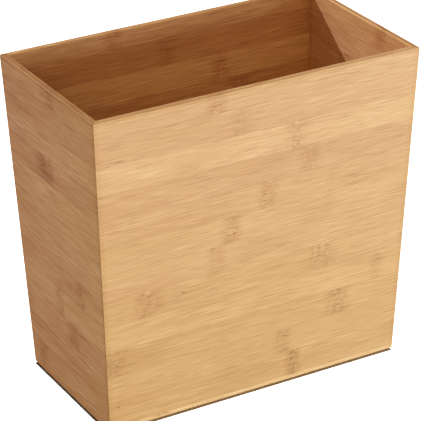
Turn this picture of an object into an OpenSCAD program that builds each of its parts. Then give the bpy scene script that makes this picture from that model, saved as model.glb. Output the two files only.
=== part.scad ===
// Open-topped rectangular wastebasket of laminated bamboo.
// Four boards lean outwards and meet in compound mitres. Each board is edge-glued from
// horizontal slats, the base panel sits in a rebate round the boards' lower edge, and four
// round rubber pads under the base keep the boards just off the floor.
// Origin: on the floor, under the centre of the basket. X is the width, Y the depth, Z up.

/* [Overall size] */
// Outside width at the rim
rim_w = 320; // [300:1:360]
// Outside depth at the rim
rim_d = 178; // [160:1:220]
// Outside width at the boards' lower edge
sill_w = 295; // [240:1:300]
// Outside depth at the boards' lower edge
sill_d = 149; // [130:1:160]
// Height from the floor to the rim
height = 305; // [250:1:350]

/* [Boards] */
// Thickness of every board
board_t = 6; // [5:0.5:9]
// Height of the uppermost slat, which was trimmed to make the rim
rim_slat_h = 16.8; // [10:0.1:24]
// Height of the lowest slat, which is what was left of the last one
sill_slat_h = 4.1; // [3:0.1:12]
// Number of full slats between those two
full_slats = 11; // [8:1:11]

/* [Base panel] */
// Thickness of the base panel
base_t = 6; // [4:0.5:8]
// How far the base panel reaches into the boards
rebate = 3; // [1:0.5:3.5]
// How far each corner of the base panel is cut back, to clear the glue in the mitres
corner_cut = 2; // [1:0.5:4]
// Number of slats across the base panel
base_slats = 6; // [5:1:7]

/* [Rubber pads] */
// Height of a pad, which is also the gap under the boards
pad_h = 2.5; // [1:0.5:5]
// Diameter of a pad where it is glued on
pad_dia = 12; // [8:0.5:16]
// How much a pad's radius shrinks towards the floor
pad_draft = 0.5; // [0.2:0.1:1]
// Distance from the base panel's edges to a pad's centre
pad_inset = 13; // [9:0.5:20]

/* [Hidden] */
$fn = 64;
board_h = height - pad_h;
wall_slats = full_slats + 2;
full_slat_h = (board_h - rim_slat_h - sill_slat_h) / full_slats;
// Longer than any board, so that a cutting block always reaches past it
reach = 2 * (height + rim_w);

// Each wall as [name, turn about Z, half its length at the rim, half its length at the sill,
// distance from the centre at the rim, distance from the centre at the sill]
WALLS = [
    ["front", 0, rim_w / 2, sill_w / 2, rim_d / 2, sill_d / 2],
    ["right", 90, rim_d / 2, sill_d / 2, rim_w / 2, sill_w / 2],
    ["back", 180, rim_w / 2, sill_w / 2, rim_d / 2, sill_d / 2],
    ["left", 270, rim_d / 2, sill_d / 2, rim_w / 2, sill_w / 2]
];
function spread_along(wall) = wall[2] - wall[3];
function spread_out(wall) = wall[4] - wall[5];
// A board's thickness measured level, when it leans out by spread over its height
function level_t(spread) = board_t * norm([spread, board_h]) / board_h;

// The base panel fills the space between the boards at its top face, and both rebates
base_grip = 2 * (rebate - board_t);
base_w = sill_w + (rim_w - sill_w) * base_t / board_h + base_grip;
base_d = sill_d + (rim_d - sill_d) * base_t / board_h + base_grip;
base_slat_d = base_d / base_slats;

function two_digits(n) = str(n < 10 ? "0" : "", n);
function wall_slat_name(wall, n) = str(wall[0], "_wall_slat_", two_digits(n));
function base_slat_name(n) = str("base_slat_", n);

// Bamboo differs a little from slat to slat
BAMBOO = ["#dcae7d", "#d8aa76", "#e2b888", "#d6a871"];
function bamboo(n) = BAMBOO[n % len(BAMBOO)];

// Height, on a board's outer face, of the glue line under slat n, counted from the rim
function glue_line(n) = n == 0 ? height : height - rim_slat_h - (n - 1) * full_slat_h;

// Everything beyond the plane through point with the given outward normal
module beyond(point, normal) {
    turn = atan2(normal.y, normal.x);
    rise = atan2(normal.z, norm([normal.x, normal.y]));
    translate(point)
        rotate([0, -rise, turn])
            translate([0, -reach / 2, -reach / 2])
                cube(reach);
}

// The planes that bound slat n of a wall, as [point, outward normal], where the wall faces -Y.
// Glue planes are square to the board, and the rim and the sill are cut level.
function slat_planes(wall, n) =
    let (
        up_board = [0, -spread_out(wall), board_h],
        face = [0, -board_h, -spread_out(wall)],
        corner = [wall[2], -wall[4], height],
        up_corner = [spread_along(wall), -spread_out(wall), board_h],
        into_corner = [-level_t(spread_along(wall)), level_t(spread_out(wall)), 0],
        mitre = cross(into_corner, up_corner),
        on_face = function(z) [0, -wall[5] - spread_out(wall) * (z - pad_h) / board_h, z]
    ) [
        [corner, face],
        [corner + [0, level_t(spread_out(wall)), 0], -face],
        [corner, mitre],
        [[-corner.x, corner.y, corner.z], [-mitre.x, mitre.y, mitre.z]],
        n == 1 ? [corner, [0, 0, 1]] : [on_face(glue_line(n - 1)), up_board],
        n == wall_slats ? [[0, 0, pad_h], [0, 0, -1]] : [on_face(glue_line(n)), -up_board]
    ];

// One slat of a wall, its ends mitred and its lower inside edge rebated for the base
module wall_slat(wall, n) {
    slat_top = glue_line(n - 1);
    slat_bottom = n == wall_slats ? pad_h : glue_line(n);
    color(bamboo(n))
        rotate([0, 0, wall[1]])
            difference() {
                translate([-wall[2], -wall[4], slat_bottom - board_t])
                    cube([2 * wall[2], wall[4] - wall[5] + 2 * board_t,
                          slat_top - slat_bottom + 2 * board_t]);
                for (plane = slat_planes(wall, n))
                    beyond(plane[0], plane[1]);
                rotate([0, 0, -wall[1]])
                    base_blank();
            }
}

// The whole base panel, a rectangle with its corners cut off
module base_blank() {
    x = base_w / 2;
    y = base_d / 2;
    right_end = [[x - corner_cut, -y], [x, corner_cut - y], [x, y - corner_cut], [x - corner_cut, y]];
    left_end = [for (point = right_end) -point];
    translate([0, 0, pad_h])
        linear_extrude(base_t)
            polygon(concat(right_end, left_end));
}

// One slat of the base panel, counted from the front
module base_slat(n) {
    color(bamboo(n + 1))
        intersection() {
            base_blank();
            translate([-base_w / 2, -base_d / 2 + (n - 1) * base_slat_d, pad_h])
                cube([base_w, base_slat_d, base_t]);
        }
}

// Self-adhesive round pads under the base panel's corners
module rubber_feet() {
    color("#2b2724")
        for (x = [-1, 1], y = [-1, 1])
            translate([x * (base_w / 2 - pad_inset), y * (base_d / 2 - pad_inset), 0])
                cylinder(h = pad_h, r1 = pad_dia / 2 - pad_draft, r2 = pad_dia / 2);
}

for (wall = WALLS, n = [1 : wall_slats])
    wall_slat(wall, n);
for (n = [1 : base_slats])
    base_slat(n);
rubber_feet();
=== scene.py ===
"""The looks of an open, flared wastebasket of laminated bamboo.

Every bamboo slat of the CAD model gets a visual piece of the same size with eased arrises,
and its own grain, knuckles and tone. Four rubber pads stand under the base panel.

Lengths are metres in the frame of the CAD model: X is the width, Y the depth, Z points up,
and the origin is on the floor under the centre of the basket. A wall is described in a local
frame in which it faces -Y, and is then turned about Z into its place.
"""

import math
import random

import bmesh
import bpy
from mathutils import Matrix, Vector


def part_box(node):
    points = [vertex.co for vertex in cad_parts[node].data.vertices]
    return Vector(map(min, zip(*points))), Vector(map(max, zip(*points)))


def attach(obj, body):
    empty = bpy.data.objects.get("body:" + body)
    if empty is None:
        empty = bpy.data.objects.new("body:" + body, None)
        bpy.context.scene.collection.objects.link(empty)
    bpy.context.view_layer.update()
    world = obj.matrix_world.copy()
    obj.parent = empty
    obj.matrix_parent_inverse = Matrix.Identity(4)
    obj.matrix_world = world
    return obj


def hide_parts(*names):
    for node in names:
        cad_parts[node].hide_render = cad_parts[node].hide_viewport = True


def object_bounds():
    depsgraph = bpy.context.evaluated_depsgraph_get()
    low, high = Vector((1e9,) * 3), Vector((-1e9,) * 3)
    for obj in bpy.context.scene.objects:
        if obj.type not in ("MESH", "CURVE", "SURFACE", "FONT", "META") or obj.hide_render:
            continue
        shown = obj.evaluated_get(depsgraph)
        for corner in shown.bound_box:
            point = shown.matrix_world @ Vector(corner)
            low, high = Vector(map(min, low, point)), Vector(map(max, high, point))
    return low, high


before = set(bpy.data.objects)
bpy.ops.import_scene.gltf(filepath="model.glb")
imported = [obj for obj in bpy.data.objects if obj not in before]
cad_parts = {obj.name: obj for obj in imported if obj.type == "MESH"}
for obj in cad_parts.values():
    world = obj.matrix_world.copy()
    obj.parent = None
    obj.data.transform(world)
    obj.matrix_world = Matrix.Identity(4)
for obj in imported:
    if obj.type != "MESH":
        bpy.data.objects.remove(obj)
cad_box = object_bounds()

MM = 0.001
TINY = 0.01 * MM

# ---------------------------------------------------------------- sizes, read from the frame


def node_levels(node, height):
    """The (|x|, |y|) of every vertex of a CAD node at that height."""
    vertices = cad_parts[node].data.vertices
    return [(abs(v.co.x), abs(v.co.y)) for v in vertices if abs(v.co.z - height) < TINY]


def slat_node(wall, number):
    return f"{wall}_wall_slat_{number:02d}"


WALL_SLATS = sum(name.startswith("front_wall_slat_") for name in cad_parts)
BASE_SLATS = sum(name.startswith("base_slat_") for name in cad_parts)
RIM_HEIGHT = cad_box[1].z
SILL_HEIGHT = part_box(slat_node("front", WALL_SLATS))[0].z
RIM_HALF = (cad_box[1].x, cad_box[1].y)
RIM_INSIDE_HALF = tuple(map(min, zip(*node_levels(slat_node("front", 1), RIM_HEIGHT))))
RIM_WIDTH = RIM_HALF[1] - RIM_INSIDE_HALF[1]
SILL_HALF = tuple(map(max, zip(*node_levels(slat_node("front", WALL_SLATS), SILL_HEIGHT))))
BASE_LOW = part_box("base_slat_1")[0]
BASE_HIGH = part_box(f"base_slat_{BASE_SLATS}")[1]
BASE_CORNER_CUT = BASE_HIGH.x - max(x for x, y in node_levels("base_slat_1", BASE_HIGH.z)
                                    if abs(y + BASE_LOW.y) < TINY)

# ---------------------------------------------------------------- shapes

# How far the arrises are eased: at the upright corners, outside and inside the rim, outside
# the lower edge, and inside it and round the underside of the base panel
CORNER_EASE = 0.6 * MM
RIM_OUTER_EASE = 1.4 * MM
RIM_INNER_EASE = 0.8 * MM
SILL_EASE = 0.7 * MM
BASE_EASE = 0.4 * MM
CORNER_STEPS = 5
ARRIS_STEPS = 4
BASE_STEPS = 2
ROUND_PROFILE = 0.5
SMOOTH_ANGLE = math.radians(32)

# Where a wall's section is taken along its length, as (side, share of the way out, turn round
# the eased corner): from one mitre, round the corner, along the face and to the other mitre
STATIONS = (
    [(-1, 1.0, 1 - k / CORNER_STEPS) for k in range(CORNER_STEPS + 1)]
    + [(-1, 0.5, 0.0), (1, 0.0, 0.0), (1, 0.5, 0.0)]
    + [(1, 1.0, k / CORNER_STEPS) for k in range(CORNER_STEPS + 1)]
)


REBATE = None


class Wall:
    """One board in its local frame: its length lies along X and it faces -Y."""

    def __init__(self, name, quarter_turns):
        self.name = name
        self.turn = Matrix.Rotation(quarter_turns * math.pi / 2, 4, "Z")
        along, out = (0, 1) if quarter_turns % 2 == 0 else (1, 0)
        self.rim = (RIM_HALF[along], RIM_HALF[out])
        self.sill = (SILL_HALF[along], SILL_HALF[out])
        self.level_t = RIM_HALF[out] - RIM_INSIDE_HALF[out]
        self.neighbour_t = RIM_HALF[along] - RIM_INSIDE_HALF[along]
        base = (BASE_HIGH.x, BASE_HIGH.y)
        self.base = (base[along], base[out])
        self.slope = (self.rim[1] - self.sill[1]) / (RIM_HEIGHT - SILL_HEIGHT)

    def reach(self, z):
        """Half the board's length, and its outer face's distance from the middle, at height z."""
        share = (z - SILL_HEIGHT) / (RIM_HEIGHT - SILL_HEIGHT)
        return tuple(low + (high - low) * share for low, high in zip(self.sill, self.rim))

    def outer(self, station, z):
        """A point of the outer face, or of the eased corner that ends it."""
        side, share, turn = station
        length, distance = self.reach(z)
        angle = turn * math.pi / 4
        x = length - CORNER_EASE * (1 - math.sin(angle))
        y = -distance + CORNER_EASE * (1 - math.cos(angle))
        return Vector((side * share * x, y, z))

    def inner(self, station, z):
        """The point of the inner face behind that one."""
        side, share, turn = station
        length, distance = self.reach(z)
        x = length - self.neighbour_t - CORNER_EASE * (1 - turn)
        return Vector((side * share * x, self.level_t - distance, z))

    def at(self, station, inset, z):
        """The point at that level distance behind the outer face."""
        return self.outer(station, z).lerp(self.inner(station, z), inset / self.level_t)

    def rebate(self, station, z):
        """A point of the rebate's upright side, which follows the base panel's edge."""
        side, share, turn = station
        x, y = self.base
        if turn == 1:
            x, y = x - BASE_CORNER_CUT / 2, y - BASE_CORNER_CUT / 2
        else:
            x = x - BASE_CORNER_CUT - CORNER_EASE * (1 - turn)
        return Vector((side * share * x, -y, z))

    def rebate_inset(self, z):
        """How far the rebate's upright side is behind the outer face."""
        return self.reach(z)[1] - self.base[1]

    def point(self, station, inset, z):
        """The point of a section at a station. An inset of REBATE is the rebate's side."""
        return self.rebate(station, z) if inset is REBATE else self.at(station, inset, z)


def quarter_arc(steps):
    """(1 - cos, 1 - sin) of a quarter turn, from (0, 1) to (1, 0)."""
    angles = [k / steps * math.pi / 2 for k in range(steps + 1)]
    return [(1 - math.cos(a), 1 - math.sin(a)) for a in angles]


def outer_part(wall, number, bottom, top):
    """A section's (inset, height) up the outer face, and over the rim on the top slat."""
    arc = quarter_arc(ARRIS_STEPS)
    part = [(0, bottom)]
    if number == WALL_SLATS:
        part = [(SILL_EASE * across, bottom + SILL_EASE * up) for across, up in arc[::-1]]
    if number > 1:
        return part + [(0, top)]
    part += [(RIM_OUTER_EASE * across, top - RIM_OUTER_EASE * down) for across, down in arc]
    return part + [(wall.level_t - RIM_INNER_EASE * across, top - RIM_INNER_EASE * down)
                   for across, down in arc[::-1]]


def inner_part(wall, number, bottom, top):
    """A section's (inset, height) down the inner face, and round the base panel's rebate."""
    part = []
    inner_top = top + wall.slope * wall.level_t
    if number > 1 and inner_top > BASE_HIGH.z:
        part = [(wall.level_t, inner_top)]
    elif number > 1:
        part = [(REBATE, top + wall.slope * wall.rebate_inset(top))]
    if bottom > BASE_HIGH.z:
        return part + [(wall.level_t, bottom + wall.slope * wall.level_t)]
    if number == WALL_SLATS:
        return part + [(REBATE, bottom + BASE_EASE),
                       (wall.rebate_inset(bottom) - BASE_EASE, bottom)]
    return part + [(wall.level_t, BASE_HIGH.z), (REBATE, BASE_HIGH.z),
                   (REBATE, bottom + wall.slope * wall.rebate_inset(bottom))]


def slat_heights(wall, number):
    """The heights of a slat's lower and upper end on the outer face."""
    bottom = SILL_HEIGHT if number == WALL_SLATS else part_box(slat_node(wall.name, number))[0].z
    top = RIM_HEIGHT if number == 1 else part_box(slat_node(wall.name, number - 1))[0].z
    return bottom, top


def loft(name, wall, section):
    """A closed solid through a wall's section at each station, with flat ends."""
    shape = bmesh.new()
    rings = [[shape.verts.new(wall.point(station, inset, z)) for inset, z in section]
             for station in STATIONS]
    for near, far in zip(rings, rings[1:]):
        for k in range(len(section)):
            after = (k + 1) % len(section)
            shape.faces.new((near[k], near[after], far[after], far[k]))
    shape.faces.new(rings[0])
    shape.faces.new(rings[-1][::-1])
    return to_mesh(name, shape)


def to_mesh(name, shape):
    """A smooth-shaded mesh that is sharp where its faces meet at more than SMOOTH_ANGLE."""
    bmesh.ops.recalc_face_normals(shape, faces=shape.faces)
    for face in shape.faces:
        face.smooth = True
    mesh = bpy.data.meshes.new(name)
    shape.to_mesh(mesh)
    shape.free()
    mesh.set_sharp_from_angle(angle=SMOOTH_ANGLE)
    return mesh


def vector_attribute(mesh, name, value_at):
    """Stores a vector at every vertex, worked out from the vertex's place."""
    attribute = mesh.attributes.new(name, "FLOAT_VECTOR", "POINT")
    for vertex, item in zip(mesh.vertices, attribute.data):
        item.vector = value_at(vertex.co)


def add_object(name, data):
    """A new object in the scene."""
    item = bpy.data.objects.new(name, data)
    bpy.context.scene.collection.objects.link(item)
    return item


def add_piece(name, mesh, material, slot, *nodes):
    """A visual piece that stands for those CAD nodes and rides on the basket's one body."""
    piece = add_object(name, mesh)
    lit_pieces.objects.link(piece)
    mesh.materials.append(material)
    normals = piece.modifiers.new("flat_faces_stay_flat", "WEIGHTED_NORMAL")
    normals.keep_sharp = True
    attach(piece, "root")
    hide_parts(*nodes)
    return piece


# What the lamps light or take shadows from: all pieces, those near the floor, the two walls
# that are farthest from the camera, and the floor
lit_pieces = bpy.data.collections.new("lit_pieces")
low_pieces = bpy.data.collections.new("low_pieces")
far_walls = bpy.data.collections.new("far_walls")
lit_floor = bpy.data.collections.new("lit_floor")

# ---------------------------------------------------------------- each slat's own look

# Distances that are out of every slat's reach
NO_KNUCKLE = 9.0
NO_LINE = 1.0
# The range of lengths between two knuckles of a culm, and how far a slat's first one may be
# from the middle of the slat
INTERNODE = (0.19, 0.29)
FIRST_KNUCKLE = 0.12
# The ranges of tone and warmth of the slats whose looks are left to chance
CHANCE_TONE = (0.42, 0.60)
CHANCE_WARMTH = (0.35, 0.60)


class SlatLook:
    """What differs from slat to slat: tone from 0 dark to 1 pale, warmth from 0 yellow to
    1 pink, where the knuckles are along it, given in millimetres, and a seed for its grain."""

    def __init__(self, tone, warmth, knuckles, chance):
        self.tone = tone
        self.warmth = warmth
        places = [k * MM for k in knuckles] + [NO_KNUCKLE, NO_KNUCKLE]
        self.knuckles = places[:2]
        self.seed = chance.random()


class BoardLook:
    """What a whole board has in common: how much its tone rises from the middle to the end at its
    local +X, which on the front is a painted falloff of light and on the back painted shade, and
    how much its warmth rises there, which on the left is a painted pinkish reflected light; how
    strong the figure of its grain and its knuckles are, and by how much its rim differs in tone."""

    def __init__(self, light_and_tone_rise=0.0, painted_pink_light_rise=0.0, figure=1.0, knuckles=1.0, rim_tone=0.0):
        self.light_and_tone_rise = light_and_tone_rise
        self.painted_pink_light_rise = painted_pink_light_rise
        self.figure = figure
        self.knuckles = knuckles
        self.rim_tone = rim_tone


# For each wall: (tone, warmth, knuckles in millimetres from the middle), from the rim down
FRONT_LOOKS = [
    (0.53, 0.46, [-44]), (0.50, 0.52, [-20]), (0.60, 0.42, [36]), (0.47, 0.50, [50]),
    (0.50, 0.36, [7.5]), (0.52, 0.25, [-27.5]), (0.50, 0.32, [-42.5]), (0.46, 0.12, [-109, 65]),
    (0.52, 0.04, [125]), (0.45, 0.06, [-141, 85]), (0.47, 0.02, [27.5]), (0.43, 0.06, [39]),
    (0.74, 0.12, [-96]),
]
LEFT_LOOKS = [
    (0.46, 0.52, [4]), (0.46, 0.62, []), (0.54, 0.56, []), (0.46, 0.60, [-14]),
    (0.58, 0.35, []), (0.53, 0.42, []), (0.53, 0.55, []), (0.48, 0.55, [38]),
    (0.56, 0.44, [-7]), (0.46, 0.58, [15]), (0.42, 0.52, []), (0.38, 0.42, [-54]),
    (0.30, 0.50, []),
]
BACK_TOP_LOOKS = [
    (0.52, 0.52, [52]), (0.40, 0.62, [-2]), (0.69, 0.38, [-57]), (0.42, 0.60, [-77]),
]
RIGHT_TOP_LOOKS = [(0.48, 0.50, [-35]), (0.42, 0.75, []), (0.42, 0.70, [20])]

BOARD_LOOKS = {
    # The front's rise of tone is a painted falloff of light towards its left end, the back's is
    # painted shade towards its corner with the right wall, the left is paler towards its front
    # end, and the left's rise of warmth, negative here, is a painted pinkish reflected light that
    # grows towards its back end
    "front": BoardLook(light_and_tone_rise=0.04, figure=0.82, rim_tone=0.06),
    "right": BoardLook(figure=1.3, knuckles=0.7, rim_tone=-0.14),
    "back": BoardLook(light_and_tone_rise=0.03, figure=1.45, knuckles=0.75, rim_tone=-0.10),
    "left": BoardLook(light_and_tone_rise=0.035, painted_pink_light_rise=-0.28, figure=1.22, knuckles=0.65,
                      rim_tone=-0.38),
    "base": BoardLook(),
}

# Small dark flecks, by board and slat: how far along, how high and half their length, in
# millimetres
FLECKS = {
    ("front", 2): (-136, 265, 7.5), ("front", 8): (-75, 124, 3.5), ("front", 12): (-139, 26, 1.5),
}
NO_FLECK = (9000, 9000, 1)

# The knuckles that differ from their board's others, by board and slat: how wide they spread,
# how strong they are and how much redder than the slat
KNUCKLES = {
    ("front", 2): (1.0, 0.5, 0.0), ("front", 3): (1.1, 0.7, 0.0), ("front", 4): (1.2, 0.6, 0.0),
    ("front", 6): (1.0, 1.2, 0.0), ("front", 7): (1.0, 0.6, 0.0), ("front", 8): (1.5, 0.85, 0.0),
    ("front", 9): (0.8, 0.8, 0.0), ("front", 10): (1.25, 1.0, 0.0),
    ("front", 11): (1.0, 0.7, 0.0), ("front", 12): (0.8, 1.6, 0.0),
    ("left", 1): (1.6, 0.75, 0.30), ("left", 4): (1.6, 0.85, 0.36),
    ("back", 2): (1.0, 0.35, 0.0), ("back", 3): (1.0, 0.75, 0.3), ("back", 4): (1.2, 0.75, 0.5),
}


def slat_looks(given, count, chance):
    """The looks of a wall's slats: the given ones first, then ones drawn by chance."""
    looks = []
    for number in range(count):
        first = chance.uniform(-FIRST_KNUCKLE, FIRST_KNUCKLE)
        second = first - math.copysign(chance.uniform(*INTERNODE), first)
        tone = chance.uniform(*CHANCE_TONE)
        warmth = chance.uniform(*CHANCE_WARMTH)
        if number < len(given):
            tone, warmth, knuckles = given[number]
        else:
            knuckles = [first / MM, second / MM]
        looks.append(SlatLook(tone, warmth, knuckles, chance))
    return looks


def knuckle_look(slat):
    """How wide a slat's knuckles spread, how strong they are and how red."""
    return KNUCKLES.get(slat, (1.0, BOARD_LOOKS[slat[0]].knuckles, 0.0))


def store_look(mesh, slat, look, half_length):
    """Attributes that the bamboo material reads, for a slat given as (board, number)."""
    board = BOARD_LOOKS[slat[0]]
    knuckle = knuckle_look(slat)
    fleck = tuple(part * MM for part in FLECKS.get(slat, NO_FLECK))

    def look_at(co):
        share = co.x / half_length
        # The rises of tone and warmth carry the board's painted falloff of light, painted shade
        # and painted pinkish reflected light
        return (look.tone + board.light_and_tone_rise * share, look.warmth + board.painted_pink_light_rise * share,
                board.figure)

    vector_attribute(mesh, "slat_knots", lambda co: (*look.knuckles, look.seed))
    vector_attribute(mesh, "slat_look", look_at)
    vector_attribute(mesh, "slat_rim", lambda co: (RIM_HEIGHT - co.z, board.rim_tone, 0))
    vector_attribute(mesh, "slat_knuckle", lambda co: knuckle)
    vector_attribute(mesh, "slat_fleck", lambda co: fleck)


def store_grain(mesh, wall, number, bottom, top):
    """Attributes of a wall slat: the place in the board, measured along it, up it and into it
    from the outer face, and the distances to the glue lines and to the mitre."""
    def grain_at(co):
        inset = co.y + wall.reach(co.z)[1]
        return (co.x, co.z - wall.slope * inset, inset)

    def edges_at(co):
        along, across, inset = grain_at(co)
        below = NO_LINE if number == WALL_SLATS else across - bottom
        above = NO_LINE if number == 1 else top - across
        mitre = (wall.reach(co.z)[0] - inset - abs(along)) / math.sqrt(2)
        return (below, above, max(mitre, 0))

    vector_attribute(mesh, "grain", grain_at)
    vector_attribute(mesh, "slat_edges", edges_at)


def build_wall(wall, looks, material):
    """The slats of one wall, built in its local frame and turned into place."""
    for number in range(1, WALL_SLATS + 1):
        node = slat_node(wall.name, number)
        bottom, top = slat_heights(wall, number)
        section = outer_part(wall, number, bottom, top) + inner_part(wall, number, bottom, top)
        mesh = loft(node + "_bamboo", wall, section)
        store_grain(mesh, wall, number, bottom, top)
        store_look(mesh, (wall.name, number), looks[number - 1], wall.rim[0])
        mesh.transform(wall.turn)
        piece = add_piece(mesh.name, mesh, material, "bamboo", node)
        if number == WALL_SLATS:
            low_pieces.objects.link(piece)
        if wall.name in ("back", "right"):
            far_walls.objects.link(piece)


def base_slat_outline(number, low, high):
    """A base slat's outline in plan, with the panel's corners cut on the first and last.
    Corners that aren't cut give the same point twice, and one of the two is dropped."""
    x = high.x
    front_cut = BASE_CORNER_CUT if number == 1 else 0
    back_cut = BASE_CORNER_CUT if number == BASE_SLATS else 0
    corners = [
        (front_cut - x, low.y), (x - front_cut, low.y), (x, low.y + front_cut),
        (x, high.y - back_cut), (x - back_cut, high.y), (back_cut - x, high.y),
        (-x, high.y - back_cut), (-x, low.y + front_cut),
    ]
    return list(dict.fromkeys((round(px, 7), round(py, 7)) for px, py in corners))


def prism(outline, bottom, top):
    """An upright solid on that outline."""
    shape = bmesh.new()
    lower = [shape.verts.new((x, y, bottom)) for x, y in outline]
    upper = [shape.verts.new((x, y, top)) for x, y in outline]
    shape.faces.new(lower[::-1])
    shape.faces.new(upper)
    for k in range(len(outline)):
        after = (k + 1) % len(outline)
        shape.faces.new((lower[k], lower[after], upper[after], upper[k]))
    return shape


def ease_underside(shape, low, high):
    """Rounds the lower edges of a base slat, except where it is glued to the next slat."""
    glue_planes = [y for y in (low.y, high.y) if TINY < abs(abs(y) - BASE_HIGH.y)]

    def is_outer(edge):
        ends = [v.co for v in edge.verts]
        in_glue = any(all(abs(co.y - y) < TINY for co in ends) for y in glue_planes)
        return all(co.z < low.z + TINY for co in ends) and not in_glue

    eased = [edge for edge in shape.edges if is_outer(edge)]
    bmesh.ops.bevel(shape, geom=eased, offset=BASE_EASE, segments=BASE_STEPS,
                    profile=ROUND_PROFILE, affect="EDGES")


def build_base_slat(number, look, material):
    """One slat of the base panel, whose grain runs along the basket's width."""
    node = f"base_slat_{number}"
    low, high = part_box(node)
    shape = prism(base_slat_outline(number, low, high), low.z, high.z)
    ease_underside(shape, low, high)
    mesh = to_mesh(node + "_bamboo", shape)
    vector_attribute(mesh, "grain", lambda co: (co.x, co.y, high.z - co.z))
    vector_attribute(mesh, "slat_edges", lambda co: (co.y - low.y, high.y - co.y,
                                                     BASE_HIGH.x - abs(co.x)))
    store_look(mesh, ("base", number), look, BASE_HIGH.x)
    low_pieces.objects.link(add_piece(mesh.name, mesh, material, "bamboo", node))


PAD_STEPS = 40
# A pad's outline, from the middle of its underside to the middle of its top, as shares of
# its radius and its height: a moulding nib, a flat tread, a round edge, and the film of glue
PAD_OUTLINE = [
    (0.00, 0.10), (0.10, 0.10), (0.15, 0.04), (0.20, 0.00), (0.62, 0.00), (0.74, 0.02),
    (0.84, 0.08), (0.91, 0.19), (0.945, 0.34), (0.97, 0.60), (0.99, 0.84), (0.99, 0.90),
    (0.96, 0.92), (0.96, 1.00), (0.00, 1.00),
]


def pad_radius():
    """Half the width that the pads' CAD node covers on the left of the middle."""
    left_xs = [v.co.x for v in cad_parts["rubber_feet"].data.vertices if v.co.x < 0]
    return (max(left_xs) - min(left_xs)) / 2


def pad_centres(radius):
    """The middle of each pad on the floor, from the corners of the pads' CAD node."""
    low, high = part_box("rubber_feet")
    return [Vector((x, y, 0)) for x in (low.x + radius, high.x - radius)
            for y in (low.y + radius, high.y - radius)]


def pad_ring(shape, centre, radius, z):
    """A ring of vertices round a pad's axis, or a single one on the axis."""
    if radius == 0:
        return [shape.verts.new(centre + Vector((0, 0, z)))]
    angles = [2 * math.pi * k / PAD_STEPS for k in range(PAD_STEPS)]
    return [shape.verts.new(centre + Vector((radius * math.cos(a), radius * math.sin(a), z)))
            for a in angles]


def join_rings(shape, near, far):
    """Faces between two rings, either of which may be a single point."""
    count = max(len(near), len(far))
    for k in range(count):
        after = (k + 1) % count
        corners = [near[k % len(near)], near[after % len(near)],
                   far[after % len(far)], far[k % len(far)]]
        shape.faces.new(list(dict.fromkeys(corners)))


def build_pads(material):
    """Four round rubber pads, turned from one outline."""
    low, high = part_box("rubber_feet")
    radius, height = pad_radius(), high.z - low.z
    shape = bmesh.new()
    for centre in pad_centres(radius):
        rings = [pad_ring(shape, centre, share * radius, up * height)
                 for share, up in PAD_OUTLINE]
        for near, far in zip(rings, rings[1:]):
            join_rings(shape, near, far)
    mesh = to_mesh("rubber_pads", shape)
    vector_attribute(mesh, "grain", lambda co: tuple(co))
    low_pieces.objects.link(add_piece("rubber_pads", mesh, material, "rubber", "rubber_feet"))


# ---------------------------------------------------------------- materials


def srgb(red, green, blue):
    """A colour given as 0 to 255 on a screen, as the linear colour that a shader takes."""
    def linear(level):
        share = level / 255
        return share / 12.92 if share <= 0.04045 else ((share + 0.055) / 1.055) ** 2.4
    return (linear(red), linear(green), linear(blue), 1.0)


# The colour sockets of a Mix node, whose other sockets of the same names are for numbers
MIX_A = 6
MIX_B = 7
MIX_RESULT = 2
# Noise lies round its middle and seldom strays from it by more than a third
NOISE_MIDDLE = 0.5
NOISE_GAIN = 3


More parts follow.
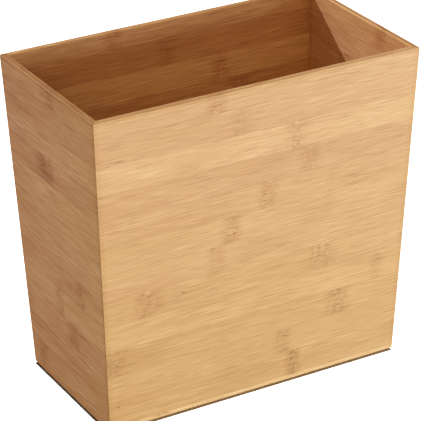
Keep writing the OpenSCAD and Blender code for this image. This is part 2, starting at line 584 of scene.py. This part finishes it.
class Shade:
    """A material's node tree. Most methods add a node and return its output."""

    def __init__(self, name):
        self.material = bpy.data.materials.new(name)
        self.material.use_nodes = True
        self.tree = self.material.node_tree
        self.shader = self.tree.nodes["Principled BSDF"]

    def put(self, socket, value):
        """Links another node's output to a socket, or sets a constant on it."""
        if isinstance(value, bpy.types.NodeSocket):
            self.tree.links.new(value, socket)
        else:
            socket.default_value = value

    def add(self, kind, inputs, output=0, **settings):
        """A node of that kind with its settings made and its inputs put."""
        node = self.tree.nodes.new("ShaderNode" + kind)
        for key, value in settings.items():
            setattr(node, key, value)
        for key, value in inputs.items():
            self.put(node.inputs[key], value)
        return node.outputs[output]

    def attribute(self, name):
        return self.add("Attribute", {}, "Vector", attribute_name=name)

    def split(self, vector):
        node = self.tree.nodes.new("ShaderNodeSeparateXYZ")
        self.put(node.inputs[0], vector)
        return tuple(node.outputs)

    def join(self, x, y, z):
        return self.add("CombineXYZ", {0: x, 1: y, 2: z})

    def sum(self, a, b):
        return self.add("Math", {0: a, 1: b}, operation="ADD")

    def minus(self, a, b):
        return self.add("Math", {0: a, 1: b}, operation="SUBTRACT")

    def times(self, a, b):
        return self.add("Math", {0: a, 1: b}, operation="MULTIPLY")

    def least(self, a, b):
        return self.add("Math", {0: a, 1: b}, operation="MINIMUM")

    def size(self, a):
        return self.add("Math", {0: a}, operation="ABSOLUTE")

    def fade(self, value, start, end):
        """0 at start and 1 at end, with a smooth change between."""
        if start > end:
            return self.minus(1.0, self.fade(value, end, start))
        inputs = {"Value": value, "From Min": start, "From Max": end}
        return self.add("MapRange", inputs, interpolation_type="SMOOTHSTEP")

    def noise(self, place, cell, detail=1.0, rough=0.5):
        """Noise with features as long, high and deep as cell says, from about 0.2 to 0.8."""
        scale = tuple(1 / c for c in cell)
        spread = self.add("VectorMath", {0: place, 1: scale}, operation="MULTIPLY")
        inputs = {"Vector": spread, "Scale": 1.0, "Detail": detail, "Roughness": rough}
        return self.add("TexNoise", inputs)

    def swing(self, noise, size):
        """Noise as a change of about that size either way."""
        return self.times(self.minus(noise, NOISE_MIDDLE), size * NOISE_GAIN)

    def mix(self, share, a, b):
        """Colour a, with that share of colour b."""
        node = self.tree.nodes.new("ShaderNodeMix")
        node.data_type = "RGBA"
        self.put(node.inputs["Factor"], share)
        self.put(node.inputs[MIX_A], a)
        self.put(node.inputs[MIX_B], b)
        return node.outputs[MIX_RESULT]

    def ramp(self, value, stops):
        """The colour at a value, from (place, colour) stops."""
        node = self.tree.nodes.new("ShaderNodeValToRGB")
        self.put(node.inputs[0], value)
        elements = node.color_ramp.elements
        while len(elements) < len(stops):
            elements.new(0.5)
        for element, (place, colour) in zip(elements, stops):
            element.position = place
            element.color = colour
        return node.outputs[0]

    def bump(self, height, depth, strength):
        inputs = {"Height": height, "Distance": depth, "Strength": strength}
        self.put(self.shader.inputs["Normal"], self.add("Bump", inputs))

    def finish(self, **inputs):
        """Sets the shader's own inputs and returns the material."""
        for key, value in inputs.items():
            self.put(self.shader.inputs[key.replace("_", " ")], value)
        return self.material


# The colours of bamboo by tone, for a warmth of 0 and of 1
YELLOW_BAMBOO = [
    (0.0, srgb(162, 116, 65)), (0.35, srgb(192, 147, 92)),
    (0.65, srgb(212, 172, 117)), (1.0, srgb(232, 200, 148)),
]
PINK_BAMBOO = [
    (0.0, srgb(164, 111, 72)), (0.35, srgb(194, 143, 101)),
    (0.65, srgb(212, 169, 127)), (1.0, srgb(233, 197, 157)),
]
FIBRE_BROWN = srgb(128, 84, 42)
KNUCKLE_BROWN = srgb(122, 76, 36)
GLUE_BROWN = srgb(112, 70, 34)
FLECK_BROWN = srgb(78, 46, 22)

# How long, high and deep the features of each layer of noise are, in metres
CELLS = {
    "wander": (0.11, 0.012, 0.012), "eddy": (0.006, 0.005, 0.005),
    "broad": (0.16, 0.0085, 0.0085), "streaks": (0.085, 0.0013, 0.0018),
    "threads": (0.028, 0.00052, 0.0010), "bundles": (0.018, 0.00042, 0.0006),
    "clusters": (0.07, 0.011, 0.011), "cloudy": (0.070, 0.028, 0.028),
    "waver": (0.2, 0.009, 0.009), "ragged": (0.02, 0.006, 0.006),
    "bands": (0.0034, 0.014, 0.014), "ticks": (0.0050, 0.0010, 0.0011),
    "patches": (0.012, 0.0075, 0.0075), "warmth": (0.15, 0.02, 0.02),
    "glue": (0.03, 0.5, 0.5), "seam": (0.5, 0.018, 0.5),
}
# How far apart in the noise two slats lie, for a difference of 1 between their seeds
SEED_SHIFT = (7.0, 3.1, 1.7)

# Distances from a knuckle, an edge or a glue line at which something starts to show and at
# which it is complete
SWIRL_FADE = (13 * MM, 1 * MM)
HALO_FADE = (13 * MM, 3 * MM)
TICKS_FADE = (8 * MM, 2 * MM)
RIM_FADE = (2.0 * MM, 1.0 * MM)
# The painted highlight on the rim's inside arris
PAINTED_HIGHLIGHT_FADE = (1.9 * MM, 0.9 * MM)
# The painted shade just below the rim and next to the mitres
EDGE_SHADE_FADE = (4.5 * MM, 1.5 * MM)
SEAM_FADE = (0.45 * MM, 0.10 * MM)
GLUE_FADE = (0.30 * MM, 0.06 * MM)

# The range of each layer's noise over which something appears
DASHES_RANGE = (0.60, 0.74)
CLUSTERS_RANGE = (0.36, 0.62)
PATCHES_RANGE = (0.34, 0.60)
PORES_RANGE = (0.44, 0.28)
GLUE_RANGE = (0.46, 0.66)
SEAM_RANGE = (0.44, 0.64)

# How far fibres wander, more so at a knuckle, and how far a knuckle wavers and its shade frays
FIBRE_WANDER = 0.9 * MM
KNUCKLE_EDDY = 0.6 * MM
KNUCKLE_WAVER = 1.6 * MM
HALO_FRAY = 4 * MM

# How much each layer changes the tone
BROAD_TONE = 0.030
CLOUDY_TONE = 0.07
STREAKS_TONE = 0.045
THREADS_TONE = 0.36
HALO_TONE = -0.18
BANDS_TONE = 0.14
TICKS_TONE = 0.50
# The painted highlight on the rim's inside arris
PAINTED_HIGHLIGHT_TONE = 0.28
# The painted shade just below the rim and next to the mitres
EDGE_SHADE_TONE = 0.14
# How much painted shade there is next to a mitre, as a share of that next to the rim
MITRE_SHARE = 0.5

# How far the warmth strays, and how much less of it there is on the rim and in the painted shade
# next to the edges
WARMTH_SWING = 0.15
EDGE_WARMTH = 0.4

# The share of brown in a dash and in a pore
DASHES_SHARE = 0.26
PORES_SHARE = 0.38
# The share of brown in a glue line and in a mitre's seam, and the strength of the threads:
# what there is everywhere, and what is added where another layer is at its strongest
GLUE_SHARES = (0.08, 0.36)
SEAM_SHARES = (0.02, 0.16)
THREADS_SHARES = (0.55, 0.6)
# Half a fleck's height, the shares of the way to its outline where it starts to show and
# where it is complete, and the power of its length in millimetres that its strength follows
FLECK_HALF_HEIGHT = 1.2 * MM
FLECK_FADE = (1.0, 0.2)
FLECK_POWER = -0.45

# The lacquer's own roughness, its swing along streaks, and what else is added to it
LACQUER_ROUGHNESS = 0.56
STREAKS_ROUGHNESS = 0.05
RIM_ROUGHNESS = 0.16
PORES_ROUGHNESS = 0.10
DASHES_ROUGHNESS = 0.05
# The depth of the relief, and how much of it each layer raises or sinks
RELIEF = 0.10 * MM
RELIEF_STRENGTH = 0.5
THREADS_RELIEF = 0.6
STREAKS_RELIEF = 0.5
DASHES_RELIEF = -0.35
PORES_RELIEF = -0.4
GLUE_RELIEF = -0.8


class BambooShade(Shade):
    """Flat-sawn bamboo under a satin lacquer, with fibres that run along the slat."""

    def __init__(self):
        super().__init__("bamboo_lacquered")
        self.read_attributes()
        self.from_knuckle = self.knuckle_distance()
        self.add_fibres()
        self.add_knuckle()
        self.add_edges()

    def read_attributes(self):
        """Where a point is in its slat, and what the slat's own look is."""
        grain = self.attribute("grain")
        self.along, self.across, self.through = self.split(grain)
        self.first, self.second, seed = self.split(self.attribute("slat_knots"))
        self.tone, self.warmth, self.figure = self.split(self.attribute("slat_look"))
        self.below, self.above, self.mitre = self.split(self.attribute("slat_edges"))
        self.rim_depth, self.rim_tone = self.split(self.attribute("slat_rim"))[:2]
        self.spread, self.strength, self.redness = self.split(self.attribute("slat_knuckle"))
        shift = self.join(*[self.times(seed, far) for far in SEED_SHIFT])
        self.place = self.add("VectorMath", {0: grain, 1: shift}, operation="ADD")

    def knuckle_distance(self):
        """Distance along the slat to its nearest knuckle, in shares of the knuckle's spread."""
        to_first = self.minus(self.along, self.first)
        to_second = self.minus(self.along, self.second)
        second_nearer = self.add("Math", {0: self.size(to_second), 1: self.size(to_first)},
                                 operation="LESS_THAN")
        gap = self.minus(to_second, to_first)
        nearest = self.sum(to_first, self.times(gap, second_nearer))
        waver = self.noise(self.place, CELLS["waver"], detail=2.0)
        distance = self.size(self.sum(nearest, self.swing(waver, KNUCKLE_WAVER)))
        return self.add("Math", {0: distance, 1: self.spread}, operation="DIVIDE")

    def add_fibres(self):
        """Layers that follow the fibres, which wander a little and swirl close to a knuckle."""
        swirl = self.fade(self.from_knuckle, *SWIRL_FADE)
        wander = self.swing(self.noise(self.place, CELLS["wander"]), FIBRE_WANDER)
        eddy = self.swing(self.noise(self.place, CELLS["eddy"]), KNUCKLE_EDDY)
        drift = self.sum(wander, self.times(eddy, swirl))
        self.fibres = self.add("VectorMath", {0: self.place, 1: self.join(0.0, drift, 0.0)},
                               operation="ADD")
        self.streaks = self.noise(self.fibres, CELLS["streaks"], detail=2.0, rough=0.6)
        self.threads = self.noise(self.fibres, CELLS["threads"])
        bundles = self.noise(self.fibres, CELLS["bundles"], detail=0.0)
        self.dashes = self.fade(bundles, *DASHES_RANGE)

    def add_knuckle(self):
        """A knuckle's frayed shade, and the short ticks and pores in patches of it."""
        fray = self.swing(self.noise(self.place, CELLS["ragged"]), HALO_FRAY)
        self.halo = self.fade(self.sum(self.from_knuckle, fray), *HALO_FADE)
        self.ticks = self.noise(self.fibres, CELLS["ticks"])
        patches = self.fade(self.noise(self.place, CELLS["patches"]), *PATCHES_RANGE)
        self.patches = self.times(self.times(patches, self.strength),
                                  self.fade(self.from_knuckle, *TICKS_FADE))
        self.pores = self.times(self.fade(self.ticks, *PORES_RANGE), self.patches)

    def add_edges(self):
        """The rim, a painted highlight on its inside arris, painted shade next to the rim and the
        mitres, and the glue.
        """
        self.rim = self.fade(self.rim_depth, *RIM_FADE)
        from_inside = self.minus(RIM_WIDTH, self.through)
        # A painted highlight along the rim's inside arris
        self.painted_arris_highlight = self.times(self.fade(from_inside, *PAINTED_HIGHLIGHT_FADE), self.rim)
        # Painted shade just below the rim, where its rounded arrises turn from the light, and
        # next to the mitres
        shade_below_rim = self.minus(self.fade(self.rim_depth, *EDGE_SHADE_FADE), self.rim)
        shade_beside_mitre = self.fade(self.mitre, *EDGE_SHADE_FADE)
        self.painted_edge_shade = self.sum(shade_below_rim, self.times(shade_beside_mitre, MITRE_SHARE))
        line = self.fade(self.least(self.below, self.above), *GLUE_FADE)
        strong = self.fade(self.noise(self.place, CELLS["glue"], detail=2.0), *GLUE_RANGE)
        self.glue = self.stronger(line, strong, GLUE_SHARES)

    def stronger(self, layer, where, shares):
        """A layer at its least share, with more of it where another layer is strong."""
        least, more = shares
        return self.times(layer, self.sum(least, self.times(where, more)))

    def grain_tone(self):
        """How the fibres change the tone: threads most, and more in some clusters than others."""
        broad = self.noise(self.fibres, CELLS["broad"])
        cloudy = self.noise(self.place, CELLS["cloudy"], detail=0.0)
        clusters = self.fade(self.noise(self.place, CELLS["clusters"]), *CLUSTERS_RANGE)
        rows = self.stronger(self.swing(self.threads, THREADS_TONE), clusters, THREADS_SHARES)
        change = self.sum(self.swing(broad, BROAD_TONE), self.swing(cloudy, CLOUDY_TONE))
        return self.sum(self.sum(change, self.swing(self.streaks, STREAKS_TONE)), rows)

    def knuckle_tone(self):
        """How a knuckle changes the tone: a shade, soft bands across the slat, ticks along it."""
        bands = self.swing(self.noise(self.place, CELLS["bands"]), BANDS_TONE)
        shade = self.times(self.times(self.sum(HALO_TONE, bands), self.halo), self.strength)
        return self.sum(shade, self.times(self.swing(self.ticks, TICKS_TONE), self.patches))

    def level(self):
        """The tone at a point, from 0 dark to 1 pale."""
        change = self.sum(self.grain_tone(), self.knuckle_tone())
        level = self.sum(self.tone, self.times(change, self.figure))
        level = self.sum(level, self.times(self.rim, self.rim_tone))
        # A painted highlight lightens the rim's inside arris
        level = self.sum(level, self.times(self.painted_arris_highlight, PAINTED_HIGHLIGHT_TONE))
        # Painted shade darkens the face next to the rim and the mitres
        return self.minus(level, self.times(self.painted_edge_shade, EDGE_SHADE_TONE))

    def hue(self):
        """The warmth at a point, from 0 yellow to 1 pink."""
        strays = self.swing(self.noise(self.place, CELLS["warmth"]), WARMTH_SWING)
        # Less warmth on the rim and in the painted shade next to the edges
        edges = self.times(self.sum(self.rim, self.painted_edge_shade), EDGE_WARMTH)
        hue = self.minus(self.sum(self.warmth, strays), edges)
        return self.sum(hue, self.times(self.redness, self.halo))

    def seam(self):
        """The share of brown in the seam of a mitre, which comes and goes."""
        strong = self.fade(self.noise(self.place, CELLS["seam"], detail=2.0), *SEAM_RANGE)
        return self.stronger(self.fade(self.mitre, *SEAM_FADE), strong, SEAM_SHARES)

    def fleck(self):
        """The share of dark brown in a slat's fleck, which is fainter the longer it is."""
        fleck_along, fleck_across, length = self.split(self.attribute("slat_fleck"))
        along_share = self.add("Math", {0: self.minus(self.along, fleck_along), 1: length},
                               operation="DIVIDE")
        across_share = self.times(self.minus(self.across, fleck_across), 1 / FLECK_HALF_HEIGHT)
        away = self.add("VectorMath", {0: self.join(along_share, across_share, 0.0)}, "Value",
                        operation="LENGTH")
        strength = self.add("Math", {0: self.times(length, 1 / MM), 1: FLECK_POWER},
                            operation="POWER")
        return self.times(self.fade(away, *FLECK_FADE), strength)

    def colour(self):
        level = self.level()
        colour = self.mix(self.hue(), self.ramp(level, YELLOW_BAMBOO),
                          self.ramp(level, PINK_BAMBOO))
        colour = self.mix(self.times(self.dashes, DASHES_SHARE), colour, FIBRE_BROWN)
        colour = self.mix(self.times(self.pores, PORES_SHARE), colour, KNUCKLE_BROWN)
        colour = self.mix(self.glue, colour, GLUE_BROWN)
        colour = self.mix(self.seam(), colour, GLUE_BROWN)
        return self.mix(self.fleck(), colour, FLECK_BROWN)

    def total(self, start, layers):
        """A value with the given share of each layer added to it."""
        for layer, share in layers:
            start = self.sum(start, self.times(layer, share))
        return start

    def roughness(self):
        lacquer = self.sum(LACQUER_ROUGHNESS, self.swing(self.streaks, STREAKS_ROUGHNESS))
        return self.total(lacquer, [(self.rim, RIM_ROUGHNESS), (self.pores, PORES_ROUGHNESS),
                                    (self.dashes, DASHES_ROUGHNESS)])

    def relief(self):
        threads = self.times(self.threads, THREADS_RELIEF)
        return self.total(threads, [(self.streaks, STREAKS_RELIEF), (self.dashes, DASHES_RELIEF),
                                    (self.pores, PORES_RELIEF), (self.glue, GLUE_RELIEF)])


def bamboo_material():
    """The one material of all slats."""
    shade = BambooShade()
    shade.bump(shade.relief(), RELIEF, RELIEF_STRENGTH)
    return shade.finish(Base_Color=shade.colour(), Roughness=shade.roughness(),
                        Specular_IOR_Level=0.35, Coat_Weight=0.06, Coat_Roughness=0.30)


# How large the features of the rubber's noise are
MOTTLE_CELL = (0.003, 0.003, 0.003)
SPECK_CELL = (0.0004, 0.0004, 0.0004)
FINE_CELL = (0.0003, 0.0003, 0.0003)
# The height above the floor up to which a pad's tread is scuffed, and the ranges of noise
# over which scuffs and specks appear
TREAD_HEIGHT = 0.5 * MM
SCUFF_RANGE = (0.4, 0.65)
SPECK_RANGE = (0.60, 0.72)
SCUFF_SHARE = 0.35
SPECK_SHARE = 0.18
RUBBER_ROUGHNESS = 0.62
MOTTLE_ROUGHNESS = 0.07
RUBBER_RELIEF = 0.03 * MM
RUBBER_RELIEF_STRENGTH = 0.4


def rubber_material():
    """Dark moulded rubber, faintly mottled and dusty, scuffed paler on the tread."""
    shade = Shade("rubber_dark")
    place = shade.attribute("grain")
    height = shade.split(place)[2]
    mottle = shade.noise(place, MOTTLE_CELL, detail=3.0)
    specks = shade.fade(shade.noise(place, SPECK_CELL), *SPECK_RANGE)
    tread = shade.fade(height, TREAD_HEIGHT, 0.0)
    scuffs = shade.times(tread, shade.fade(mottle, *SCUFF_RANGE))
    colour = shade.mix(mottle, srgb(33, 30, 28), srgb(52, 48, 45))
    colour = shade.mix(shade.times(scuffs, SCUFF_SHARE), colour, srgb(98, 93, 88))
    colour = shade.mix(shade.times(specks, SPECK_SHARE), colour, srgb(120, 114, 106))
    roughness = shade.sum(RUBBER_ROUGHNESS, shade.swing(mottle, MOTTLE_ROUGHNESS))
    shade.bump(shade.noise(place, FINE_CELL), RUBBER_RELIEF, RUBBER_RELIEF_STRENGTH)
    return shade.finish(Base_Color=colour, Roughness=roughness)


# ---------------------------------------------------------------- the basket

SEED = 28
WALLS = [
    (Wall("front", 0), FRONT_LOOKS), (Wall("right", 1), RIGHT_TOP_LOOKS),
    (Wall("back", 2), BACK_TOP_LOOKS), (Wall("left", 3), LEFT_LOOKS),
]


def build_basket(chance):
    """All pieces. The slats that are given no look of their own draw theirs by chance."""
    bamboo = bamboo_material()
    for wall, given in WALLS:
        build_wall(wall, slat_looks(given, WALL_SLATS, chance), bamboo)
    for number, look in enumerate(slat_looks([], BASE_SLATS, chance), 1):
        build_base_slat(number, look, bamboo)
    build_pads(rubber_material())


# ---------------------------------------------------------------- floor, light and camera

FLOOR_SIZE = 14.0
FLOOR_CELL = (0.4, 0.4, 0.4)
SUN_DISTANCE = 3.0
WHITE = (1.0, 1.0, 1.0)


def add_floor():
    """A plain pale floor, much larger than the view, which reflects no light on the basket."""
    half = FLOOR_SIZE / 2
    mesh = bpy.data.meshes.new("floor")
    corners = [(-half, -half, 0), (half, -half, 0), (half, half, 0), (-half, half, 0)]
    mesh.from_pydata(corners, [], [(0, 1, 2, 3)])
    floor = add_object("floor", mesh)
    lit_floor.objects.link(floor)
    shade = Shade("floor_pale")
    place = shade.add("TexCoord", {}, "Object")
    cloud = shade.noise(place, FLOOR_CELL, detail=2.0)
    colour = shade.mix(cloud, srgb(243, 243, 243), srgb(249, 249, 249))
    mesh.materials.append(shade.finish(Base_Color=colour, Roughness=0.9))
    floor.visible_diffuse = False
    floor.visible_glossy = False


def add_sun(name, azimuth, elevation, strength, colour, spread, receivers, blockers):
    """Light from a direction, in degrees: azimuth 0 comes from the front, 90 from the right.
    It falls on the receivers only, and only the blockers cast shadows in it."""
    lamp = bpy.data.lights.new(name, "SUN")
    lamp.energy = strength
    lamp.color = colour
    lamp.angle = math.radians(spread)
    sun = add_object(name, lamp)
    a, e = math.radians(azimuth), math.radians(elevation)
    towards = Vector((math.sin(a) * math.cos(e), -math.cos(a) * math.cos(e), math.sin(e)))
    sun.rotation_mode = "QUATERNION"
    sun.rotation_quaternion = towards.to_track_quat("Z", "Y")
    sun.location = towards * SUN_DISTANCE
    sun.light_linking.receiver_collection = receivers
    sun.light_linking.blocker_collection = blockers


# The window casts the slanting shadow inside the right wall, the dome is the whole sky, and
# the fills light the front, the left wall and the inside. The last two light only the floor.
SUNS = [
    # name, azimuth, elevation, strength, colour, spread, what it lights, what casts shadows
    ("window", -150, 32.8, 2.70, WHITE, 1.5, lit_pieces, lit_pieces),
    ("front_fill", 20, 0, 1.15, WHITE, 16, lit_pieces, lit_pieces),
    ("right_fill", 45, -12, 3.05, (0.98, 1.035, 0.965), 20, lit_pieces, lit_pieces),
    ("left_fill", -90, -6, 0.58, (1.0, 0.86, 0.94), 30, lit_pieces, lit_pieces),
    ("inside_fill", -35, 30, 0.26, (1.0, 0.5, 0.06), 20, far_walls, lit_pieces),
    ("dome", 0, 90, 1.257, (1.0, 0.6875, 0.50), 180, lit_pieces, lit_pieces),
    ("overhead", 50, 86, 6.0, WHITE, 10, lit_floor, low_pieces),
    ("under_front", 20, 14, 1.7, (1.0, 0.50, 0.18), 12, lit_floor, low_pieces),
]


def add_world():
    """A plain white backdrop for the camera, which lights nothing."""
    world = bpy.data.worlds.new("studio")
    bpy.context.scene.world = world
    world.use_nodes = True
    tree = world.node_tree
    background = tree.nodes["Background"]
    background.inputs["Color"].default_value = (1.0, 1.0, 1.0, 1.0)
    ray = tree.nodes.new("ShaderNodeLightPath")
    tree.links.new(ray.outputs["Is Camera Ray"], background.inputs["Strength"])


# The camera's place and lens are in metres and millimetres
CAMERA_PLACE = Vector((-0.9352, -1.6624, 1.0790))
CAMERA_YAW = math.radians(29.316)
CAMERA_PITCH = math.radians(25.965)
CAMERA_ROLL = math.radians(-0.860)
CAMERA_LENS = 201.9
SENSOR_WIDTH = 36
CLIP_START = 0.05
CLIP_END = 60


def add_camera():
    """Looks along yaw, turned from +Y towards +X, and down by pitch, and is rolled a little."""
    level = math.cos(CAMERA_PITCH)
    forward = Vector((math.sin(CAMERA_YAW) * level, math.cos(CAMERA_YAW) * level,
                      -math.sin(CAMERA_PITCH)))
    right = forward.cross(Vector((0, 0, 1))).normalized()
    up = right.cross(forward)
    roll_cos, roll_sin = math.cos(CAMERA_ROLL), math.sin(CAMERA_ROLL)
    rolled_right = roll_cos * right + roll_sin * up
    rolled_up = roll_cos * up - roll_sin * right
    turn = Matrix((rolled_right, rolled_up, -forward)).transposed().to_4x4()
    lens = bpy.data.cameras.new("camera")
    lens.lens = CAMERA_LENS
    lens.sensor_width = SENSOR_WIDTH
    lens.clip_start = CLIP_START
    lens.clip_end = CLIP_END
    camera = add_object("camera", lens)
    camera.matrix_world = Matrix.Translation(CAMERA_PLACE) @ turn
    bpy.context.scene.camera = camera


build_basket(random.Random(SEED))
add_floor()
for sun in SUNS:
    add_sun(*sun)
add_world()
add_camera()
bpy.context.scene.view_settings.view_transform = "Standard"
